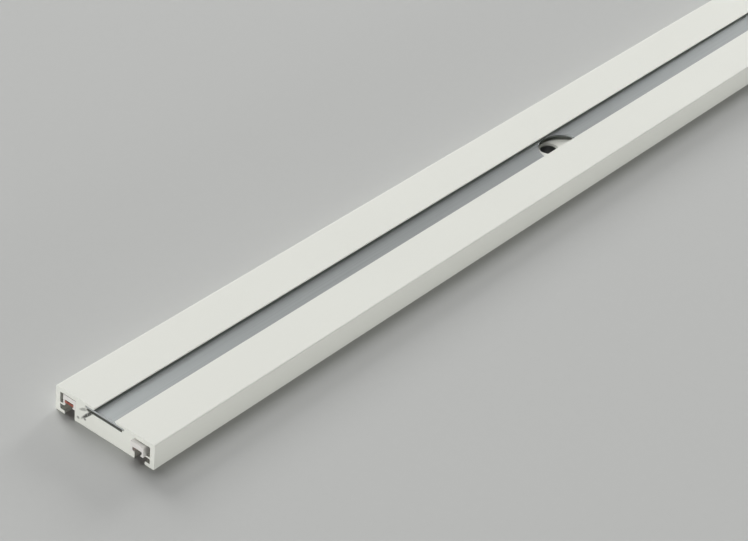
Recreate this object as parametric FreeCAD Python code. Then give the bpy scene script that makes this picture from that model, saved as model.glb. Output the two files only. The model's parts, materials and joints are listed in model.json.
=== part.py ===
"""Flat magnetic lighting track, a cut length lying on its mounting face with the groove up.

An aluminium extrusion carries a steel strip for lamp magnets in a T-slot under its groove, and a
copper conductor in a plastic insulator in the cavity behind each outer wall.
Millimetres. X runs along the track, Y across it and Z up; the origin is at the bottom centre.
"""
import FreeCAD
import Part
import math
import os

# Track
TRACK_LENGTH = 500.0
TRACK_WIDTH = 27.0
TRACK_HEIGHT = 6.0

# Extrusion section
OUTER_WALL = 1.2
LAND_THICKNESS = 1.1
GROOVE_WIDTH = 5.5
GROOVE_LIP = 0.6
GROOVE_LIP_EDGE = 0.25
GROOVE_LIP_UNDERCUT = 0.45
WEB_FOOT_WIDTH = 16.5
WEB_WAIST_WIDTH = 15.9
SEAT_HEIGHT = 2.45
WALL_RIB_REACH = 1.25
WALL_RIB_THICKNESS = 0.4
FOOT_LIP_REACH = 1.3
FOOT_LIP_THICKNESS = 0.85
OUTER_EDGE_RADIUS = 0.3
INNER_EDGE_RADIUS = 0.15
LIP_EDGE_RADIUS = 0.1

# Steel strip and its T-slot
STRIP_WIDTH = 10.5
STRIP_THICKNESS = 0.45
STRIP_SETBACK = 0.1
STRIP_CLEARANCE = 0.05
RELIEF_WIDTH = 9.5
RELIEF_DEPTH = 0.6

# Insulators and conductors
INSULATOR_TOP = 1.15
INSULATOR_TOP_GAP = 0.1
INSULATOR_LEG = 0.4
INSULATOR_WALL_GAP = 0.85
INSULATOR_HOOK_REACH = 0.25
INSULATOR_HOOK_THICKNESS = 0.45
INSULATOR_PROUD = 1.0
CONDUCTOR_WIDTH = 2.45
CONDUCTOR_THICKNESS = 0.6

# Screw holes
SCREW_HOLE_COUNT = 2
SCREW_HOLE_END_DISTANCE = 150.0
SCREW_HOLE_DIAMETER = 4.0
COUNTERSINK_DIAMETER = 5.0
COUNTERSINK_ANGLE = 90.0
STRIP_NOTCH_RADIUS = 6.65
STRIP_NOTCH_PAST_CENTRE = 2.65
STRIP_NOTCH_SHIFT = 1.2

# Levels and half widths worked out from the values above
HALF_WIDTH = TRACK_WIDTH / 2
WALL_INSIDE = HALF_WIDTH - OUTER_WALL
CAVITY_TOP = TRACK_HEIGHT - LAND_THICKNESS
SLOT_TOP = TRACK_HEIGHT - GROOVE_LIP
STRIP_BOTTOM = SLOT_TOP - STRIP_CLEARANCE - STRIP_THICKNESS
RELIEF_BOTTOM = STRIP_BOTTOM - RELIEF_DEPTH
SLOT_HALF_WIDTH = STRIP_WIDTH / 2 + STRIP_CLEARANCE
INSULATOR_HIGH = CAVITY_TOP - INSULATOR_TOP_GAP
INSULATOR_OUTSIDE = WALL_INSIDE - INSULATOR_WALL_GAP
CHANNEL_TOP = INSULATOR_HIGH - INSULATOR_TOP
CONDUCTOR_BOTTOM = SEAT_HEIGHT + INSULATOR_HOOK_THICKNESS
CONDUCTOR_TOP = CONDUCTOR_BOTTOM + CONDUCTOR_THICKNESS
CONDUCTOR_OUTSIDE = INSULATOR_OUTSIDE - INSULATOR_LEG
CONDUCTOR_INSIDE = CONDUCTOR_OUTSIDE - CONDUCTOR_WIDTH


def rounded_wire(corners, x):
    """Closed outline at one station of the track; each corner is (y, z, radius)."""
    edges = []
    starts = []
    ends = []
    count = len(corners)
    for i, (y, z, radius) in enumerate(corners):
        here = FreeCAD.Vector(x, y, z)
        before = FreeCAD.Vector(x, *corners[i - 1][:2]) - here
        after = FreeCAD.Vector(x, *corners[(i + 1) % count][:2]) - here
        half_angle = before.getAngle(after) / 2
        before.normalize()
        after.normalize()
        trim = radius / math.tan(half_angle)
        start = here + before * trim
        end = here + after * trim
        if radius > 0:
            middle = (before + after).normalize()
            centre_distance = radius / math.sin(half_angle)
            crown = here + middle * (centre_distance - radius)
            edges.append(Part.Arc(start, crown, end).toShape())
        starts.append(start)
        ends.append(end)
    for i in range(count):
        edges.append(Part.makeLine(ends[i], starts[(i + 1) % count]))
    return Part.Wire(Part.__sortEdges__(edges))


def extruded(corners, x_from, x_to):
    """Solid with the given outline, from one station of the track to another."""
    face = Part.Face(rounded_wire(corners, x_from))
    return face.extrude(FreeCAD.Vector(x_to - x_from, 0, 0))


def mirrored(half):
    """The outline's right half, followed by its mirror image on the left."""
    return half + [(-y, z, radius) for y, z, radius in reversed(half)]


def screw_stations():
    """X of each screw hole, evenly spaced between the two end distances."""
    first = -TRACK_LENGTH / 2 + SCREW_HOLE_END_DISTANCE
    pitch = -2 * first / (SCREW_HOLE_COUNT - 1)
    return [first + i * pitch for i in range(SCREW_HOLE_COUNT)]


def profile():
    """White extrusion: lands, groove and T-slot, centre web, walls with ribs and foot lips, holes."""
    outer = OUTER_EDGE_RADIUS
    inner = INNER_EDGE_RADIUS
    groove = GROOVE_WIDTH / 2
    relief = RELIEF_WIDTH / 2
    foot = WEB_FOOT_WIDTH / 2
    waist = WEB_WAIST_WIDTH / 2
    rib_end = WALL_INSIDE - WALL_RIB_REACH
    rib_bottom = SEAT_HEIGHT - WALL_RIB_THICKNESS
    lip_end = WALL_INSIDE - FOOT_LIP_REACH
    inside = [
        (groove, TRACK_HEIGHT, LIP_EDGE_RADIUS),
        (groove, TRACK_HEIGHT - GROOVE_LIP_EDGE, LIP_EDGE_RADIUS),
        (groove + GROOVE_LIP_UNDERCUT, SLOT_TOP, 0),
        (SLOT_HALF_WIDTH, SLOT_TOP, 0),
        (SLOT_HALF_WIDTH, STRIP_BOTTOM, 0),
        (relief, STRIP_BOTTOM, 0),
        (relief, RELIEF_BOTTOM, inner),
    ]
    outside = [
        (foot, 0, inner),
        (foot, SEAT_HEIGHT, inner),
        (waist, SEAT_HEIGHT, 0),
        (waist, CAVITY_TOP, 0),
        (WALL_INSIDE, CAVITY_TOP, 0),
        (WALL_INSIDE, SEAT_HEIGHT, 0),
        (rib_end, SEAT_HEIGHT, inner),
        (rib_end, rib_bottom, inner),
        (WALL_INSIDE, rib_bottom, inner),
        (WALL_INSIDE, FOOT_LIP_THICKNESS, inner),
        (lip_end, FOOT_LIP_THICKNESS, inner),
        (lip_end, 0, inner),
        (HALF_WIDTH, 0, inner),
        (HALF_WIDTH, TRACK_HEIGHT, outer),
    ]
    body = extruded(mirrored(outside + inside), -TRACK_LENGTH / 2, TRACK_LENGTH / 2)
    hole_radius = SCREW_HOLE_DIAMETER / 2
    sink_radius = COUNTERSINK_DIAMETER / 2
    sink_depth = (sink_radius - hole_radius) / math.tan(math.radians(COUNTERSINK_ANGLE / 2))
    for x in screw_stations():
        hole = Part.makeCylinder(hole_radius, RELIEF_BOTTOM, FreeCAD.Vector(x, 0, 0))
        sink_start = FreeCAD.Vector(x, 0, RELIEF_BOTTOM - sink_depth)
        sink = Part.makeCone(hole_radius, sink_radius, sink_depth, sink_start)
        body = body.cut(hole.fuse(sink))
    return body


def steel_strip():
    """Flat strip on the ledges of the T-slot, with a round notch in one edge over each screw hole."""
    half = STRIP_WIDTH / 2
    top = STRIP_BOTTOM + STRIP_THICKNESS
    outline = [(-half, STRIP_BOTTOM, 0), (half, STRIP_BOTTOM, 0), (half, top, 0), (-half, top, 0)]
    reach = TRACK_LENGTH / 2 - STRIP_SETBACK
    strip = extruded(outline, -reach, reach)
    for x in screw_stations():
        centre_y = STRIP_NOTCH_PAST_CENTRE - STRIP_NOTCH_RADIUS
        centre = FreeCAD.Vector(x + STRIP_NOTCH_SHIFT, centre_y, STRIP_BOTTOM)
        strip = strip.cut(Part.makeCylinder(STRIP_NOTCH_RADIUS, STRIP_THICKNESS, centre))
    return strip


def insulator(side):
    """Channel open downwards, seated on the web's shoulder and the wall's rib, hooked under the copper.

    It was slid in from one end, and stands proud of the other.
    """
    waist = WEB_WAIST_WIDTH / 2
    inner_hook = CONDUCTOR_INSIDE + INSULATOR_HOOK_REACH
    outer_hook = CONDUCTOR_OUTSIDE - INSULATOR_HOOK_REACH
    section = [
        (waist, SEAT_HEIGHT, 0),
        (inner_hook, SEAT_HEIGHT, 0),
        (inner_hook, CONDUCTOR_BOTTOM, 0),
        (CONDUCTOR_INSIDE, CONDUCTOR_BOTTOM, 0),
        (CONDUCTOR_INSIDE, CHANNEL_TOP, 0),
        (CONDUCTOR_OUTSIDE, CHANNEL_TOP, 0),
        (CONDUCTOR_OUTSIDE, CONDUCTOR_BOTTOM, 0),
        (outer_hook, CONDUCTOR_BOTTOM, 0),
        (outer_hook, SEAT_HEIGHT, 0),
        (INSULATOR_OUTSIDE, SEAT_HEIGHT, 0),
        (INSULATOR_OUTSIDE, INSULATOR_HIGH, 0),
        (waist, INSULATOR_HIGH, 0),
    ]
    start = -TRACK_LENGTH / 2
    end = TRACK_LENGTH / 2
    if side > 0:
        end += INSULATOR_PROUD
    else:
        start -= INSULATOR_PROUD
    return extruded([(side * y, z, radius) for y, z, radius in section], start, end)


def conductor(side):
    """Flat copper bar with rolled edges, lying on the insulator's hooks and level with the track's ends."""
    rolled = INNER_EDGE_RADIUS
    section = [
        (CONDUCTOR_INSIDE, CONDUCTOR_BOTTOM, rolled),
        (CONDUCTOR_OUTSIDE, CONDUCTOR_BOTTOM, rolled),
        (CONDUCTOR_OUTSIDE, CONDUCTOR_TOP, rolled),
        (CONDUCTOR_INSIDE, CONDUCTOR_TOP, rolled),
    ]
    half_length = TRACK_LENGTH / 2
    return extruded([(side * y, z, radius) for y, z, radius in section], -half_length, half_length)


def main():
    parts = {
        "profile": profile(),
        "steel_strip": steel_strip(),
        "insulator_left": insulator(1),
        "insulator_right": insulator(-1),
        "conductor_left": conductor(1),
        "conductor_right": conductor(-1),
    }
    os.makedirs("parts", exist_ok=True)
    for node, shape in parts.items():
        shape.exportStep("parts/" + node + ".step")
        print(node, "valid", shape.isValid(), "solids", len(shape.Solids), "volume", round(shape.Volume, 1))


main()
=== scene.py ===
"""Magnetic lighting track: a cut length of white track with its groove up, on a studio floor.

Laid out as an add-on: property groups hold the sizes and colours, one operator makes each kind of
piece, one makes the stage, and a sidebar panel lists them all.
Metres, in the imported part's frame: X runs along the track, Y across it and Z up.
"""
import json
import math

import bpy
import numpy as np
from bpy.props import FloatProperty, FloatVectorProperty, PointerProperty
from mathutils import Matrix, Vector


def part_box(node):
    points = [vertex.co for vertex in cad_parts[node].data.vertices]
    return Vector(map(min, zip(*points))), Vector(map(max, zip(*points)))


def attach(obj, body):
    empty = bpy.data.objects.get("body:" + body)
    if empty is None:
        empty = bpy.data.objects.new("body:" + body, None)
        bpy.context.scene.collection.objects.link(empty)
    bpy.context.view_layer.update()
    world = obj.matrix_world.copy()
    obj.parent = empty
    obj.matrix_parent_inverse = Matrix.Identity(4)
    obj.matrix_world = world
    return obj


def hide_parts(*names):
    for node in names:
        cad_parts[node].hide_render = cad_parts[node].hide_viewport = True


bl_info = {
    "name": "Magnetic Lighting Track",
    "version": (1, 0, 0),
    "blender": (4, 5, 0),
    "location": "View3D > Sidebar > Track",
    "description": "Makes a cut length of flat magnetic lighting track and the stage it lies on",
    "category": "Add Mesh",
}

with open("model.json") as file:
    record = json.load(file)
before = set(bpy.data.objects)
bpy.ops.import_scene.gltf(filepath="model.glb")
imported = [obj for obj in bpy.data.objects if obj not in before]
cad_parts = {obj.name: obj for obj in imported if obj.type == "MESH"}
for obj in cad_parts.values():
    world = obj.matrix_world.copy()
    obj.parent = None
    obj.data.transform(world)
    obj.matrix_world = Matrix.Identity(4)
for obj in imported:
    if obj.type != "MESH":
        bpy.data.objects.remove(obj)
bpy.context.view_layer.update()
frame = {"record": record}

MM = 0.001

# How finely round shapes are divided
ARC_STEPS = 5
ROUND_STEPS = 3
HOLE_STEPS = 12
NOTCH_STEPS = 48

# Ring of a screw hole, counted from one, at which the countersink ends and the bore starts
NECK_RING = 4

# Edges that turn by more than this are shaded sharp
SHARP_ANGLE = math.radians(50)

# What the frame says about each piece
PROFILE_LOW, PROFILE_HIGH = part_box("profile")
STRIP_LOW, STRIP_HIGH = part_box("steel_strip")
SLEEVE_LOW, SLEEVE_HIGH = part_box("insulator_left")
BAR_LOW, BAR_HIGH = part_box("conductor_left")
SCREW_HOLES = next(m for m in frame["record"]["mounts"] if m["name"] == "screw_holes")
HOLE_RADIUS = SCREW_HOLES["dims"]["hole_r_mm"] * MM
HOLE_PITCH = SCREW_HOLES["dims"]["spacing_x_mm"] * MM
HOLE_STATIONS = (-HOLE_PITCH / 2, HOLE_PITCH / 2)

# Dark marks painted on the near end: place across and up, half length and width in mm, slope in degrees,
# strength
END_MARKS = (
    (5.6, 4.2, 1.9, 0.5, -27, 0.55),
    (4.5, 3.5, 3.4, 0.5, -46, 1.0),
    (7.25, 1.3, 0.5, 0.45, 0, 0.7),
    (5.4, 1.9, 0.5, 0.45, 0, 0.7),
)

# Floor: half width, and how far it lies under the track so that the two faces don't touch
FLOOR_REACH = 4.0
FLOOR_GAP = 0.02 * MM

# Soft boxes: bearing from X and height in degrees, size across and up in metres, and level, which is
# how bright each makes a white face square to it
LAMP_DISTANCE = 10.0
LAMPS = {
    "key_softbox": (66, 26, 3.6, 4.0, 0.57),
    "low_softbox": (40, 11, 5.2, 2.4, 0.22),
    "back_softbox": (12, 16, 2.8, 2.2, 0.37),
    "top_softbox": (72, 64, 6.8, 6.0, 0.503),
    "end_reflector": (182, 5.5, 5.2, 1.6, 0.68),
    "right_reflector": (290, 4, 7.0, 1.08, 0.48),
}
AIR_LEVEL = 0.01


def linear(hex_colour):
    """Linear red, green and blue of an sRGB hex colour."""
    srgb = np.array([int(hex_colour[i:i + 2], 16) for i in (1, 3, 5)]) / 255
    return np.where(srgb <= 0.04045, srgb / 12.92, ((srgb + 0.055) / 1.055) ** 2.4).tolist()


def size(name, description, millimetres):
    """A length property, kept in metres and written in millimetres."""
    return FloatProperty(
        name=name,
        description=description,
        default=millimetres * MM,
        precision=5,
        subtype="DISTANCE",
        unit="LENGTH",
    )


def turn(name, description, degrees):
    """An angle property, kept in radians and written in degrees."""
    return FloatProperty(
        name=name,
        description=description,
        default=math.radians(degrees),
        subtype="ANGLE",
        unit="ROTATION",
    )


def colour(name, description, hex_colour):
    """A colour property, kept linear and written as sRGB hex."""
    return FloatVectorProperty(
        name=name,
        description=description,
        default=linear(hex_colour),
        size=3,
        min=0.0,
        max=1.0,
        subtype="COLOR",
    )


class TrackSizes(bpy.types.PropertyGroup):
    """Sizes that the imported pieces' boxes don't give."""

    wall_thickness: size("Wall thickness", "Thickness of the two outer walls", 1.2)
    land_thickness: size("Land thickness", "Thickness of the top over the side cavities", 1.1)
    rib_reach: size("Rib reach", "How far the wall's rib reaches in under the sleeve", 1.25)
    rib_thickness: size("Rib thickness", "Thickness of the wall's rib", 0.4)
    groove_width: size("Groove width", "Open width between the two lands", 5.5)
    lip_edge: size("Lip edge", "Thickness of the lips along the groove's mouth", 0.25)
    lip_undercut: size("Lip undercut", "How far the lips' underside slopes back from the mouth", 0.45)
    foot_width: size("Web foot width", "Width of the face that the track lies on", 16.5)
    foot_lip_reach: size("Foot lip reach", "How far each outer wall turns in at the bottom", 1.3)
    foot_lip_thickness: size("Foot lip thickness", "Thickness of the turned-in foot", 0.85)
    relief_width: size("Relief width", "Width of the hollow under the strip", 9.5)
    relief_depth: size("Relief depth", "Depth of the hollow under the strip", 0.6)
    slot_clearance: size("Slot clearance", "Play of the strip in its slot", 0.05)
    outer_radius: size("Outer edge radius", "Rounding of the two long top edges", 0.3)
    inner_radius: size("Inner edge radius", "Rounding of the section's other corners", 0.15)
    lip_radius: size("Lip edge radius", "Rounding of the lips along the groove's mouth", 0.1)
    slot_radius: size("Slot corner radius", "Rounding inside the slot and behind the sleeves", 0.08)
    end_radius: size("End radius", "Rounding that the coat leaves on the cut ends", 0.06)
    sink_diameter: size("Countersink", "Diameter of the countersink at its rim", 5.0)
    notch_radius: size("Notch radius", "Radius of the strip's notch over a screw hole", 6.65)
    notch_past_centre: size("Notch reach", "How far a notch passes the strip's centre line", 2.65)
    notch_shift: size("Notch shift", "Place of a notch along the track from its screw hole", 1.2)
    strip_radius: size("Strip edge radius", "Rounding of the strip's sheared edges", 0.05)
    sleeve_top: size("Sleeve top", "Thickness of the sleeves over the copper's channel", 1.15)
    sleeve_hook: size("Sleeve hook", "Reach of the hooks that hold the copper", 0.25)
    sleeve_radius: size("Sleeve edge radius", "Rounding of the sleeves' edges", 0.05)
    bar_radius: size("Bar edge radius", "Rounding of the drawn copper's edges", 0.15)


class TrackFinishes(bpy.types.PropertyGroup):
    """Colours of the finishes."""

    coat: colour("Coat", "White powder coat of the extrusion", "#E5E6DE")
    # Colour of the dark marks painted beside the slot on the near end
    end_mark_tone: colour("Marks", "Dark spots on the near end", "#3C3C38")
    drilled: colour("Drilled metal", "Bare aluminium inside the screw holes", "#A6A8A8")
    zinc: colour("Zinc", "Zinc-coated steel of the strip", "#B6BABA")
    zinc_dull: colour("Dull zinc", "Duller streaks of the rolled strip", "#A8ACAC")
    sheared: colour("Sheared steel", "Cut ends of the strip", "#BCBFBF")
    sleeve: colour("Sleeve", "White plastic round the copper", "#E3E0DC")
    copper: colour("Copper", "Drawn copper where it is clean", "#D08474")
    tarnish: colour("Tarnish", "Brown film on the copper", "#9A5448")
    floor: colour("Floor", "Plain grey studio floor", "#C0C1BF")


class TrackView(bpy.types.PropertyGroup):
    """Where the camera stands."""

    aim_from_end: size("Aim from end", "Distance of the aim point from the near end", 76.95)
    aim_across: size("Aim across", "Place of the aim point across the track", -5.03)
    distance: size("Distance", "Distance of the camera from the aim point", 478.35)
    heading: turn("Heading", "Direction of view, turned from the track's length", 35.91)
    pitch: turn("Pitch", "Angle of view below the horizon", 34.29)
    roll: turn("Roll", "Tilt of the camera about its own axis", 6.0)
    lens: FloatProperty(
        name="Lens",
        description="Focal length, in millimetres, on a sensor 36 mm wide",
        default=106.14,
        subtype="DISTANCE_CAMERA",
        unit="CAMERA",
    )


def unit(vectors):
    """Each vector divided by its own length."""
    return vectors / np.linalg.norm(vectors, axis=-1, keepdims=True)


def rounded_outline(corners):
    """Points and outward normals of a closed outline whose (y, z, radius) corners are arcs.

    The centre of an arc is on the corner's bisector, at the radius over the sine of the half angle.
    Its points blend the first and the last spoke by the sines of the angles left and passed.
    """
    corners = np.asarray(corners, float)
    points = corners[:, :2]
    radius = corners[:, 2:]
    back = unit(np.roll(points, 1, axis=0) - points)
    ahead = unit(np.roll(points, -1, axis=0) - points)
    half_angle = np.arccos((back * ahead).sum(1, keepdims=True)) / 2
    centre = points + unit(back + ahead) * radius / np.sin(half_angle)
    trim = radius / np.tan(half_angle)
    first = (points + back * trim - centre)[:, None]
    last = (points + ahead * trim - centre)[:, None]
    sweep = (np.pi - 2 * half_angle)[:, None]
    share = np.linspace(0, 1, ARC_STEPS + 1)[None, :, None]
    spokes = (np.sin((1 - share) * sweep) * first + np.sin(share * sweep) * last) / np.sin(sweep)
    convex = np.sign(back[:, 1] * ahead[:, 0] - back[:, 0] * ahead[:, 1])
    outward = unit(spokes) * convex[:, None, None]
    return (centre[:, None] + spokes).reshape(-1, 2), outward.reshape(-1, 2)


def rounded_stations(start, end, radius, between=()):
    """X and inset of the rings of a piece with rounded ends: quarter circles, with stations between."""
    quarter = np.linspace(0, np.pi / 2, ROUND_STEPS + 1)
    run = radius * (1 - np.cos(quarter))
    inset = radius * (1 - np.sin(quarter))
    x = np.concatenate([start + run, between, end - run[::-1]])
    return x, np.concatenate([inset, np.zeros(len(between)), inset[::-1]])


def carried(outline, outward, x, inset):
    """Rings of a profile carried along X: each is the outline moved inwards by that ring's inset."""
    across = outline[None] - outward[None] * inset[:, None, None]
    along = np.broadcast_to(x[:, None, None], across.shape[:2] + (1,))
    return np.concatenate([along, across], axis=2)


def quads_between(loops):
    """Quads between each closed loop of vertex numbers and the next one."""
    following = np.roll(loops, -1, axis=1)
    return np.stack([loops[:-1], following[:-1], following[1:], loops[1:]], axis=-1)


def capped_rings(rings):
    """Vertices and faces of a closed tube of rings, with a flat cap on each end."""
    loops = np.arange(rings[..., 0].size).reshape(rings.shape[:2])
    faces = quads_between(loops).reshape(-1, 4).tolist()
    return rings.reshape(-1, 3), faces + [loops[0, ::-1].tolist(), loops[-1].tolist()]


def both_sides(half):
    """The outline's right half followed by its mirror image."""
    return half + on_side(half, -1)


def on_side(corners, side):
    """Corners on the given side of the track: the mirror image runs backwards, to face outwards."""
    if side > 0:
        return corners
    return [(-y, z, radius) for y, z, radius in reversed(corners)]


def extrusion_corners(sizes):
    """Right half of the extrusion's section, from the foot round to the floor under the strip."""
    outer = sizes.outer_radius
    inner = sizes.inner_radius
    lip = sizes.lip_radius
    fine = sizes.slot_radius
    foot = sizes.foot_width / 2
    groove = sizes.groove_width / 2
    relief = sizes.relief_width / 2
    seat = SLEEVE_LOW.z
    cavity_top = PROFILE_HIGH.z - sizes.land_thickness
    wall = PROFILE_HIGH.y - sizes.wall_thickness
    rib_end = wall - sizes.rib_reach
    rib_bottom = seat - sizes.rib_thickness
    foot_end = wall - sizes.foot_lip_reach
    slot_side = STRIP_HIGH.y + sizes.slot_clearance
    slot_top = STRIP_HIGH.z + sizes.slot_clearance
    return [
        (foot, 0, inner),
        (foot, seat, inner),
        (SLEEVE_LOW.y, seat, fine),
        (SLEEVE_LOW.y, cavity_top, fine),
        (wall, cavity_top, fine),
        (wall, seat, fine),
        (rib_end, seat, inner),
        (rib_end, rib_bottom, inner),
        (wall, rib_bottom, inner),
        (wall, sizes.foot_lip_thickness, inner),
        (foot_end, sizes.foot_lip_thickness, inner),
        (foot_end, 0, inner),
        (PROFILE_HIGH.y, 0, inner),
        (PROFILE_HIGH.y, PROFILE_HIGH.z, outer),
        (groove, PROFILE_HIGH.z, lip),
        (groove, PROFILE_HIGH.z - sizes.lip_edge, lip),
        (groove + sizes.lip_undercut, slot_top, fine),
        (slot_side, slot_top, fine),
        (slot_side, STRIP_LOW.z, fine),
        (relief, STRIP_LOW.z, fine),
        (relief, STRIP_LOW.z - sizes.relief_depth, inner),
    ]


def screw_hole_profile(sizes):
    """Radius and height down a screw hole: upper rim, square cone, neck, bore and lower rim.

    The rims and the neck are each rounded in steps that are shares of one small radius.
    """
    rim = sizes.slot_radius
    floor = STRIP_LOW.z - sizes.relief_depth
    sink = sizes.sink_diameter / 2
    neck = floor - (sink - HOLE_RADIUS)
    return np.array([
        (sink + rim, floor),
        (sink + rim * 0.3, floor - rim * 0.2),
        (sink - rim * 0.5, floor - rim),
        (HOLE_RADIUS + rim, neck + rim),
        (HOLE_RADIUS + rim * 0.2, neck - rim * 0.1),
        (HOLE_RADIUS, neck - rim),
        (HOLE_RADIUS, rim),
        (HOLE_RADIUS + rim * 0.3, rim * 0.3),
        (HOLE_RADIUS + rim, 0.0),
    ])


def block_edge(block):
    """Vertex numbers round a square block of a grid, counter-clockwise seen from above."""
    return np.concatenate([block[0, :-1], block[:-1, -1], block[-1, :0:-1], block[:0:-1, 0]])


def extrusion_mesh(sizes):
    """Vertices, faces and bare faces of the extrusion: its section carried along X, and its screw holes.

    The relief's floor and the foot are divided at tangents of equal angles, so the edge of a square
    block of each lies on equal rays from a hole's axis; the hole's rings are circles on those rays,
    joined from the upper block's edge, down the countersink and the bore, to the lower one's.
    The coat covers the countersink; the bore below it is bare.
    """
    outline, outward = rounded_outline(both_sides(extrusion_corners(sizes)))
    half = len(outline) // 2
    rays = np.tan(np.linspace(-np.pi / 4, np.pi / 4, HOLE_STEPS + 1))
    floor_y, floor_z = outline[half - 1]
    stops = rays[1:-1, None]
    floor_row = np.hstack([-stops * floor_y, np.full_like(stops, floor_z)])
    foot_row = np.hstack([stops * outline[0, 0], np.zeros_like(stops)])
    up = np.hstack([np.zeros_like(stops), np.ones_like(stops)])
    outline = np.concatenate([outline[:half], floor_row, outline[half:], foot_row])
    outward = np.concatenate([outward[:half], up, outward[half:], -up])
    floor_columns = np.arange(half - 1, half + HOLE_STEPS)
    foot_columns = np.arange(-HOLE_STEPS, 1)

    between = np.concatenate([x + floor_y * rays for x in HOLE_STATIONS])
    x, inset = rounded_stations(PROFILE_LOW.x, PROFILE_HIGH.x, sizes.end_radius, between)
    rings = carried(outline, outward, x, inset)
    loops = np.arange(rings[..., 0].size).reshape(rings.shape[:2])
    skin = quads_between(loops)
    shown = np.ones(skin.shape[:2], bool)
    vertices = [rings.reshape(-1, 3)]
    holes = []
    spokes = 0.75 * np.pi + np.arange(4 * HOLE_STEPS) * np.pi / (2 * HOLE_STEPS)
    radius, height = screw_hole_profile(sizes).T[:, :, None]
    for number, station in enumerate(HOLE_STATIONS):
        rows = ROUND_STEPS + 1 + number * (HOLE_STEPS + 1) + np.arange(HOLE_STEPS + 1)
        shown[np.ix_(rows[:-1], floor_columns[:-1])] = False
        shown[np.ix_(rows[:-1], foot_columns[:-1])] = False
        ring_x = station + radius * np.cos(spokes)
        hole = np.stack([ring_x, radius * np.sin(spokes), height + 0 * ring_x], axis=-1)
        first = sum(map(len, vertices))
        hole_loops = first + np.arange(ring_x.size).reshape(ring_x.shape)
        upper = block_edge(loops[np.ix_(rows, floor_columns)])
        lower = block_edge(loops[np.ix_(rows, foot_columns[::-1])])
        holes.append(quads_between(np.vstack([upper, hole_loops, lower])))
        vertices.append(hole.reshape(-1, 3))
    coated = [skin[shown]] + [hole[[*range(NECK_RING), -1]].reshape(-1, 4) for hole in holes]
    drilled = [hole[NECK_RING:-1].reshape(-1, 4) for hole in holes]
    quads = np.concatenate(coated + drilled)
    caps = np.stack([loops[0, ::-1], loops[-1]])
    used, renumbered = np.unique(np.concatenate([quads.ravel(), caps.ravel()]), return_inverse=True)
    quads = renumbered[:quads.size].reshape(-1, 4)
    caps = renumbered[quads.size:].reshape(caps.shape)
    bare = np.zeros(len(quads) + len(caps), bool)
    bare[sum(map(len, coated)):len(quads)] = True
    return np.concatenate(vertices)[used], quads.tolist() + caps.tolist(), bare


def strip_mesh(sizes):
    """Vertices and faces of the strip: a thin rounded rectangle carried along X between two rails.

    The left rail is straight. The right rail follows a circular arc through each notch, and a point
    near the right edge is the rail plus the rail's inward normal times its depth from the edge.
    """
    edge = sizes.strip_radius
    side = STRIP_HIGH.y
    corners = [
        (side, STRIP_LOW.z, edge),
        (side, STRIP_HIGH.z, edge),
        (-side, STRIP_HIGH.z, edge),
        (-side, STRIP_LOW.z, edge),
    ]
    outline, outward = rounded_outline(corners)
    centre_y = sizes.notch_past_centre - sizes.notch_radius
    mouth = math.asin((-side - centre_y) / sizes.notch_radius)
    spokes = np.linspace(np.pi - mouth, mouth, NOTCH_STEPS + 1)
    normal = np.column_stack([np.cos(spokes), np.sin(spokes)])
    arc = normal * sizes.notch_radius + (0, centre_y)
    normal[[0, -1]] = unit(normal[[0, -1]] + (0, 1))
    # On the straight rail a notch's rings are spread a little wider than the notch, so that they fan out
    fan = 1.3 * sizes.notch_radius
    spread = np.linspace(-fan, fan, NOTCH_STEPS + 1)
    centres = [x + sizes.notch_shift for x in HOLE_STATIONS]
    between = np.concatenate([x + spread for x in centres])
    x, inset = rounded_stations(STRIP_LOW.x, STRIP_HIGH.x, edge / 2, between)
    rings = carried(outline, outward, x, inset)
    rail = np.column_stack([x, np.full_like(x, -side)])
    inward = np.tile((0.0, 1.0), (len(x), 1))
    notched = inset == 0
    notched[[ROUND_STEPS, -1 - ROUND_STEPS]] = False
    rail[notched] = np.concatenate([arc + (x, 0) for x in centres])
    inward[notched] = np.tile(normal, (len(centres), 1))
    right = outline[:, 0] < 0
    depth = rings[:, right, 1] + side
    rings[:, right, :2] = rail[:, None] + inward[:, None] * depth[..., None]
    return capped_rings(rings)


def sleeve_corners(sizes):
    """Left sleeve's section: a channel open downwards, with a hook on each leg under the copper."""
    edge = sizes.sleeve_radius
    inner_hook = BAR_LOW.y + sizes.sleeve_hook
    outer_hook = BAR_HIGH.y - sizes.sleeve_hook
    channel_top = SLEEVE_HIGH.z - sizes.sleeve_top
    return [
        (SLEEVE_LOW.y, SLEEVE_LOW.z, edge),
        (inner_hook, SLEEVE_LOW.z, edge),
        (inner_hook, BAR_LOW.z, edge),
        (BAR_LOW.y, BAR_LOW.z, edge),
        (BAR_LOW.y, channel_top, edge),
        (BAR_HIGH.y, channel_top, edge),
        (BAR_HIGH.y, BAR_LOW.z, edge),
        (outer_hook, BAR_LOW.z, edge),
        (outer_hook, SLEEVE_LOW.z, edge),
        (SLEEVE_HIGH.y, SLEEVE_LOW.z, edge),
        (SLEEVE_HIGH.y, SLEEVE_HIGH.z, edge),
        (SLEEVE_LOW.y, SLEEVE_HIGH.z, edge),
    ]


def bar_corners(sizes):
    """Copper bar's section: a rectangle with drawn, rounded edges."""
    edge = sizes.bar_radius
    return [
        (BAR_LOW.y, BAR_LOW.z, edge),
        (BAR_HIGH.y, BAR_LOW.z, edge),
        (BAR_HIGH.y, BAR_HIGH.z, edge),
        (BAR_LOW.y, BAR_HIGH.z, edge),
    ]


def insert_mesh(corners, side, node, end_radius):
    """Vertices and faces of a sleeve or a bar: its section carried along the CAD node's own length."""
    outline, outward = rounded_outline(on_side(corners, side))
    low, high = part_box(node)
    return capped_rings(carried(outline, outward, *rounded_stations(low.x, high.x, end_radius)))


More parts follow.
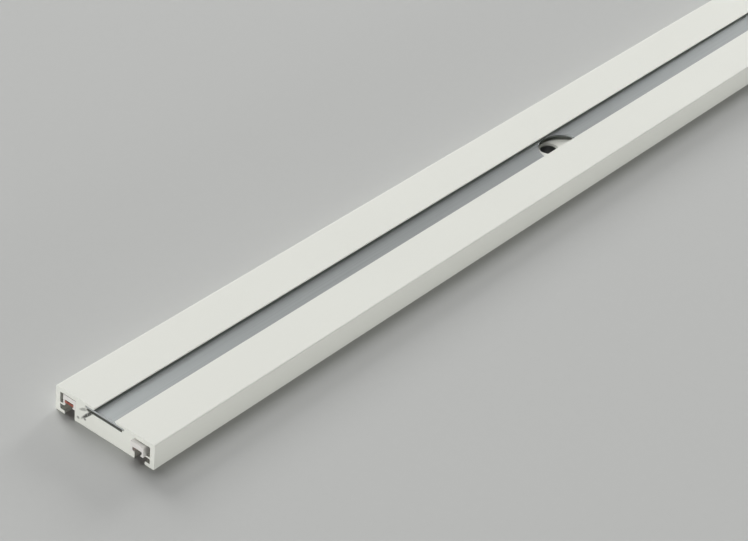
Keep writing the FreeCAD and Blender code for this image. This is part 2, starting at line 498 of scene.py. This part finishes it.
def put_piece(name, vertices, faces, material, node, slot):
    """Makes the piece's object, shades it smooth by area and seats it in place of its CAD node."""
    mesh = bpy.data.meshes.new(name)
    mesh.from_pydata(vertices.tolist(), [], faces)
    mesh.shade_smooth()
    mesh.set_sharp_from_angle(angle=SHARP_ANGLE)
    mesh.materials.append(material)
    piece = bpy.data.objects.new(name, mesh)
    bpy.context.scene.collection.objects.link(piece)
    shading = piece.modifiers.new("Flat faces stay flat", "WEIGHTED_NORMAL")
    shading.mode = "FACE_AREA"
    shading.weight = 100
    shading.keep_sharp = True
    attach(piece, "root")
    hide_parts(node)
    return piece


def add_node(tree, kind, inputs, **settings):
    """Adds a node with its settings; an input is given a value or the output that it is linked to."""
    node = tree.nodes.new(kind)
    for name, value in settings.items():
        setattr(node, name, value)
    for socket, value in inputs.items():
        if isinstance(value, bpy.types.NodeSocket):
            tree.links.new(value, node.inputs[socket])
        else:
            node.inputs[socket].default_value = value
    return node


def cells(millimetres):
    """Texture scale, in cells to the metre, of a pattern whose cells are this wide."""
    return 1 / (millimetres * MM)


def new_material(name):
    """An empty material, its node tree and the output for object coordinates."""
    material = bpy.data.materials.new(name)
    material.use_nodes = True
    tree = material.node_tree
    tree.nodes.clear()
    return material, tree, add_node(tree, "ShaderNodeTexCoord", {}).outputs["Object"]


def finish_material(material, tree, inputs):
    """Gives the material its surface shader with these inputs."""
    shader = add_node(tree, "ShaderNodeBsdfPrincipled", inputs)
    add_node(tree, "ShaderNodeOutputMaterial", {"Surface": shader.outputs["BSDF"]})
    return material


def opaque(rgb):
    """A colour with full alpha, as colour sockets take it."""
    return (*rgb, 1.0)


def dark_end_marks(tree, place):
    """How dark the marks painted on the near end are: the darkest of some soft ovals that fade from their
    centres.
    """
    ragged = add_node(tree, "ShaderNodeTexNoise", {"Vector": place, "Scale": cells(0.5), "Detail": 2.0})
    uneven = add_node(
        tree,
        "ShaderNodeMapRange",
        {"Value": ragged.outputs[0], "From Min": 0.3, "From Max": 0.5, "To Min": 0.5},
    )
    darkest = 0.0
    for across, up, half_length, half_width, slope, strength in END_MARKS:
        laid = add_node(
            tree,
            "ShaderNodeMapping",
            {
                "Vector": place,
                "Location": (PROFILE_LOW.x, across * MM, up * MM),
                "Rotation": (math.radians(slope), 0.0, 0.0),
                "Scale": (half_width * MM, half_length * MM, half_width * MM),
            },
            vector_type="TEXTURE",
        )
        oval = add_node(
            tree, "ShaderNodeTexGradient", {"Vector": laid.outputs[0]}, gradient_type="SPHERICAL"
        )
        soft = add_node(
            tree,
            "ShaderNodeMapRange",
            {"Value": oval.outputs["Fac"], "From Max": 0.6, "To Max": strength},
            interpolation_type="SMOOTHSTEP",
        )
        darkest = add_node(
            tree, "ShaderNodeMath", {0: darkest, 1: soft.outputs[0]}, operation="MAXIMUM"
        ).outputs[0]
    return add_node(
        tree, "ShaderNodeMath", {0: darkest, 1: uneven.outputs[0]}, operation="MULTIPLY"
    ).outputs[0]


def powder_coat(finishes):
    """Polyester powder sprayed on aluminium and baked: a matt white skin, faintly pebbled."""
    material, tree, place = new_material("powder_coated_aluminium")
    # The melted powder levels into orange peel about 1.2 mm across and a few thousandths deep
    peel = add_node(tree, "ShaderNodeTexNoise", {"Vector": place, "Scale": cells(1.2), "Detail": 2.0})
    pebbled = add_node(tree, "ShaderNodeBump", {"Height": peel.outputs[0], "Distance": 0.003 * MM})
    # The film is a little thicker in places, which shifts the tone over some 35 mm
    film = add_node(tree, "ShaderNodeTexNoise", {"Vector": place, "Scale": cells(35.0), "Detail": 1.0})
    tone = add_node(
        tree,
        "ShaderNodeMix",
        {0: film.outputs[0], 6: opaque(finishes.coat), 7: opaque([c * 0.95 for c in finishes.coat])},
        data_type="RGBA",
    )
    # Dark marks are painted into the coat beside the slot on the near end
    marked = add_node(
        tree,
        "ShaderNodeMix",
        {0: dark_end_marks(tree, place), 6: tone.outputs[2], 7: opaque(finishes.end_mark_tone)},
        data_type="RGBA",
    )
    gloss = add_node(
        tree, "ShaderNodeMapRange", {"Value": peel.outputs[0], "To Min": 0.62, "To Max": 0.74}
    )
    return finish_material(material, tree, {
        "Base Color": marked.outputs[2],
        "Roughness": gloss.outputs[0],
        "IOR": 1.5,
        "Normal": pebbled.outputs[0],
    })


def drilled_aluminium(finishes):
    """Bare aluminium cut by a drill: grey metal with fine turning lines round the hole."""
    material, tree, place = new_material("drilled_bare_aluminium")
    # The drill's feed leaves rings about 0.15 mm apart down the hole
    stretch = add_node(
        tree, "ShaderNodeMapping", {"Vector": place, "Scale": (cells(6.0), cells(6.0), cells(0.15))}
    )
    rings = add_node(
        tree, "ShaderNodeTexNoise", {"Vector": stretch.outputs[0], "Scale": 1.0, "Detail": 2.0}
    )
    tone = add_node(
        tree,
        "ShaderNodeMix",
        {0: rings.outputs[0], 6: opaque(finishes.drilled), 7: opaque([c * 0.7 for c in finishes.drilled])},
        data_type="RGBA",
    )
    ridges = add_node(tree, "ShaderNodeBump", {"Height": rings.outputs[0], "Distance": 0.01 * MM})
    return finish_material(material, tree, {
        "Base Color": tone.outputs[2],
        "Metallic": 1.0,
        "Roughness": 0.35,
        "Normal": ridges.outputs[0],
    })


def zinc_coat(finishes):
    """Cold-rolled steel with an electroplated zinc coat: a soft grey sheen, streaked along its length."""
    material, tree, place = new_material("zinc_plated_rolled_steel")
    # Rolling marks are hundredths of a millimetre apart, drawn here 0.3 mm apart so that they show
    stretch = add_node(
        tree, "ShaderNodeMapping", {"Vector": place, "Scale": (cells(40.0), cells(0.3), cells(0.3))}
    )
    streaks = add_node(
        tree, "ShaderNodeTexNoise", {"Vector": stretch.outputs[0], "Scale": 1.0, "Detail": 3.0}
    )
    tone = add_node(
        tree,
        "ShaderNodeMix",
        {0: streaks.outputs[0], 6: opaque(finishes.zinc), 7: opaque(finishes.zinc_dull)},
        data_type="RGBA",
    )
    gloss = add_node(
        tree, "ShaderNodeMapRange", {"Value": streaks.outputs[0], "To Min": 0.56, "To Max": 0.64}
    )
    ridges = add_node(tree, "ShaderNodeBump", {"Height": streaks.outputs[0], "Distance": 0.002 * MM})
    # The marks run along the strip, so they draw reflections out across it
    rolled = add_node(tree, "ShaderNodeCombineXYZ", {"X": 1.0})
    return finish_material(material, tree, {
        "Base Color": tone.outputs[2],
        "Metallic": 1.0,
        "Roughness": gloss.outputs[0],
        "Anisotropic": 0.8,
        "Anisotropic Rotation": 0.25,
        "Tangent": rolled.outputs[0],
        "Normal": ridges.outputs[0],
    })


def sheared_steel(finishes):
    """Steel cut in a shear: dull pale grey, torn into fine upright lines."""
    material, tree, place = new_material("sheared_steel")
    # The blade leaves lines about 0.1 mm apart through the strip's thickness
    stretch = add_node(
        tree, "ShaderNodeMapping", {"Vector": place, "Scale": (cells(0.1), cells(0.1), cells(2.0))}
    )
    torn = add_node(
        tree, "ShaderNodeTexNoise", {"Vector": stretch.outputs[0], "Scale": 1.0, "Detail": 2.0}
    )
    tone = add_node(
        tree,
        "ShaderNodeMix",
        {0: torn.outputs[0], 6: opaque(finishes.sheared), 7: opaque([c * 0.75 for c in finishes.sheared])},
        data_type="RGBA",
    )
    ridges = add_node(tree, "ShaderNodeBump", {"Height": torn.outputs[0], "Distance": 0.01 * MM})
    return finish_material(material, tree, {
        "Base Color": tone.outputs[2],
        "Metallic": 0.4,
        "Roughness": 0.7,
        "Normal": ridges.outputs[0],
    })


def sleeve_plastic(finishes):
    """Rigid vinyl pushed through a die: matt white, with faint die lines along its length."""
    material, tree, place = new_material("extruded_rigid_vinyl")
    # Die lines about 0.2 mm apart
    stretch = add_node(
        tree, "ShaderNodeMapping", {"Vector": place, "Scale": (cells(60.0), cells(0.2), cells(0.2))}
    )
    lines = add_node(
        tree, "ShaderNodeTexNoise", {"Vector": stretch.outputs[0], "Scale": 1.0, "Detail": 2.0}
    )
    tone = add_node(
        tree,
        "ShaderNodeMix",
        {0: lines.outputs[0], 6: opaque(finishes.sleeve), 7: opaque([c * 0.93 for c in finishes.sleeve])},
        data_type="RGBA",
    )
    ridges = add_node(tree, "ShaderNodeBump", {"Height": lines.outputs[0], "Distance": 0.004 * MM})
    return finish_material(material, tree, {
        "Base Color": tone.outputs[2],
        "Roughness": 0.5,
        "IOR": 1.53,
        "Normal": ridges.outputs[0],
    })


def drawn_copper(finishes):
    """Bare copper drawn through a die: red metal with drawing lines, browned where it has tarnished."""
    material, tree, place = new_material("drawn_bare_copper")
    # Drawing lines about 0.1 mm apart, and patches of brown film about 0.8 mm across
    stretch = add_node(
        tree, "ShaderNodeMapping", {"Vector": place, "Scale": (cells(30.0), cells(0.1), cells(0.1))}
    )
    lines = add_node(
        tree, "ShaderNodeTexNoise", {"Vector": stretch.outputs[0], "Scale": 1.0, "Detail": 2.0}
    )
    patches = add_node(tree, "ShaderNodeTexNoise", {"Vector": place, "Scale": cells(0.8), "Detail": 3.0})
    film = add_node(
        tree,
        "ShaderNodeMapRange",
        {"Value": patches.outputs[0], "From Min": 0.4, "From Max": 0.65},
    )
    tone = add_node(
        tree,
        "ShaderNodeMix",
        {0: film.outputs[0], 6: opaque(finishes.copper), 7: opaque(finishes.tarnish)},
        data_type="RGBA",
    )
    gloss = add_node(tree, "ShaderNodeMapRange", {"Value": film.outputs[0], "To Min": 0.3, "To Max": 0.55})
    ridges = add_node(tree, "ShaderNodeBump", {"Height": lines.outputs[0], "Distance": 0.003 * MM})
    return finish_material(material, tree, {
        "Base Color": tone.outputs[2],
        "Metallic": 1.0,
        "Roughness": gloss.outputs[0],
        "Normal": ridges.outputs[0],
    })


def studio_paper(finishes):
    """Matt grey paper: a dull even tone with a barely visible grain."""
    material, tree, place = new_material("matt_studio_paper")
    # Paper grain is finer than a pixel, drawn here 2 mm across
    grain = add_node(tree, "ShaderNodeTexNoise", {"Vector": place, "Scale": cells(2.0), "Detail": 2.0})
    tone = add_node(
        tree,
        "ShaderNodeMix",
        {0: grain.outputs[0], 6: opaque(finishes.floor), 7: opaque([c * 0.98 for c in finishes.floor])},
        data_type="RGBA",
    )
    return finish_material(material, tree, {"Base Color": tone.outputs[2], "Roughness": 0.95})


class TRACK_OT_extrusion(bpy.types.Operator):
    """Make the white extrusion with its lands, groove, slot, cavities and screw holes"""

    bl_idname = "track.extrusion"
    bl_label = "White Extrusion"

    def execute(self, context):
        vertices, faces, bare = extrusion_mesh(context.scene.track_sizes)
        finishes = context.scene.track_finishes
        coat = powder_coat(finishes)
        piece = put_piece("white_extrusion", vertices, faces, coat, "profile", "white_coated_aluminium")
        piece.data.materials.append(drilled_aluminium(finishes))
        piece.data.polygons.foreach_set("material_index", bare.astype(np.int32))
        return {"FINISHED"}


class TRACK_OT_strip(bpy.types.Operator):
    """Make the steel strip that the lamps' magnets hold to"""

    bl_idname = "track.strip"
    bl_label = "Steel Strip"

    def execute(self, context):
        vertices, faces = strip_mesh(context.scene.track_sizes)
        finishes = context.scene.track_finishes
        zinc = zinc_coat(finishes)
        piece = put_piece("magnet_strip", vertices, faces, zinc, "steel_strip", "zinc_coated_steel")
        piece.data.materials.append(sheared_steel(finishes))
        cut = np.zeros(len(faces), np.int32)
        cut[-2:] = 1
        piece.data.polygons.foreach_set("material_index", cut)
        return {"FINISHED"}


class TRACK_OT_sleeves(bpy.types.Operator):
    """Make the two white sleeves that keep the copper off the extrusion"""

    bl_idname = "track.sleeves"
    bl_label = "Insulating Sleeves"

    def execute(self, context):
        sizes = context.scene.track_sizes
        plastic = sleeve_plastic(context.scene.track_finishes)
        for name, side in (("left", 1), ("right", -1)):
            node = "insulator_" + name
            mesh = insert_mesh(sleeve_corners(sizes), side, node, sizes.sleeve_radius / 2)
            put_piece("sleeve_" + name, *mesh, plastic, node, "white_plastic")
        return {"FINISHED"}


class TRACK_OT_bars(bpy.types.Operator):
    """Make the two copper bars that feed the lamps"""

    bl_idname = "track.bars"
    bl_label = "Copper Bars"

    def execute(self, context):
        sizes = context.scene.track_sizes
        copper = drawn_copper(context.scene.track_finishes)
        for name, side in (("left", 1), ("right", -1)):
            node = "conductor_" + name
            mesh = insert_mesh(bar_corners(sizes), side, node, sizes.bar_radius / 3)
            put_piece("copper_bar_" + name, *mesh, copper, node, "copper")
        return {"FINISHED"}


def put_floor(finishes):
    """A wide flat floor just under the track."""
    signs = ((-1, -1), (1, -1), (1, 1), (-1, 1))
    corners = [(x * FLOOR_REACH, y * FLOOR_REACH, -FLOOR_GAP) for x, y in signs]
    mesh = bpy.data.meshes.new("studio_floor")
    mesh.from_pydata(corners, [], [(0, 1, 2, 3)])
    mesh.materials.append(studio_paper(finishes))
    floor = bpy.data.objects.new("studio_floor", mesh)
    bpy.context.scene.collection.objects.link(floor)


def put_light(name, aim, bearing, height, size_across, size_up, level):
    """A soft box that faces the aim point.

    Its power is its level times the square of pi times its distance.
    """
    out = Vector((math.cos(math.radians(bearing)), math.sin(math.radians(bearing)), 0))
    rise = math.radians(height)
    way = out * math.cos(rise) + Vector((0, 0, math.sin(rise)))
    lamp = bpy.data.lights.new(name, "AREA")
    lamp.shape = "RECTANGLE"
    lamp.size = size_across
    lamp.size_y = size_up
    lamp.energy = level * (math.pi * LAMP_DISTANCE) ** 2
    box = bpy.data.objects.new(name, lamp)
    box.location = aim + way * LAMP_DISTANCE
    box.rotation_euler = (-way).to_track_quat("-Z", "Y").to_euler()
    bpy.context.scene.collection.objects.link(box)


def put_camera(view, aim):
    """The camera: it looks along its heading and pitch at the aim point, tilted by its roll."""
    ahead = Vector((math.cos(view.heading), math.sin(view.heading), 0))
    side = Vector((math.sin(view.heading), -math.cos(view.heading), 0))
    up = Vector((0, 0, 1))
    look = ahead * math.cos(view.pitch) - up * math.sin(view.pitch)
    rise = ahead * math.sin(view.pitch) + up * math.cos(view.pitch)
    right = side * math.cos(view.roll) + rise * math.sin(view.roll)
    top = rise * math.cos(view.roll) - side * math.sin(view.roll)
    data = bpy.data.cameras.new("track_camera")
    data.sensor_fit = "HORIZONTAL"
    data.sensor_width = 36.0
    data.lens = view.lens
    data.clip_start = 0.01
    camera = bpy.data.objects.new("track_camera", data)
    turned = Matrix((right, top, -look)).transposed().to_4x4()
    camera.matrix_world = Matrix.Translation(aim - look * view.distance) @ turned
    bpy.context.scene.collection.objects.link(camera)
    bpy.context.scene.camera = camera


class TRACK_OT_stage(bpy.types.Operator):
    """Make the floor, the soft light and the camera"""

    bl_idname = "track.stage"
    bl_label = "Stage"

    def execute(self, context):
        scene = context.scene
        view = scene.track_view
        aim = Vector((PROFILE_LOW.x + view.aim_from_end, view.aim_across, PROFILE_HIGH.z))
        put_floor(scene.track_finishes)
        for name, lamp in LAMPS.items():
            put_light(name, aim, *lamp)
        world = bpy.data.worlds.new("studio_air")
        world.use_nodes = True
        tree = world.node_tree
        tree.nodes.clear()
        white = (1.0, 1.0, 1.0, 1.0)
        air = add_node(tree, "ShaderNodeBackground", {"Color": white, "Strength": AIR_LEVEL})
        add_node(tree, "ShaderNodeOutputWorld", {"Surface": air.outputs[0]})
        scene.world = world
        scene.view_settings.view_transform = "Standard"
        put_camera(view, aim)
        return {"FINISHED"}


OPERATORS = (TRACK_OT_extrusion, TRACK_OT_strip, TRACK_OT_sleeves, TRACK_OT_bars, TRACK_OT_stage)
GROUPS = {"track_sizes": TrackSizes, "track_finishes": TrackFinishes, "track_view": TrackView}


class TRACK_PT_sidebar(bpy.types.Panel):
    """Lists the pieces of the track, and the sizes and colours that they are made with"""

    bl_idname = "TRACK_PT_sidebar"
    bl_label = "Magnetic Lighting Track"
    bl_space_type = "VIEW_3D"
    bl_region_type = "UI"
    bl_category = "Track"

    def draw(self, context):
        for operator in OPERATORS:
            self.layout.operator(operator.bl_idname)
        for group in GROUPS:
            box = self.layout.box()
            settings = getattr(context.scene, group)
            for name in settings.__annotations__:
                box.prop(settings, name)


def register():
    for entry in (*GROUPS.values(), *OPERATORS, TRACK_PT_sidebar):
        bpy.utils.register_class(entry)
    for name, group in GROUPS.items():
        setattr(bpy.types.Scene, name, PointerProperty(type=group))


def unregister():
    for name in GROUPS:
        delattr(bpy.types.Scene, name)
    for entry in (TRACK_PT_sidebar, *OPERATORS, *GROUPS.values()):
        bpy.utils.unregister_class(entry)


def main():
    """Makes every piece and the stage."""
    register()
    bpy.ops.track.extrusion()
    bpy.ops.track.strip()
    bpy.ops.track.sleeves()
    bpy.ops.track.bars()
    bpy.ops.track.stage()


if __name__ == "__main__":
    main()
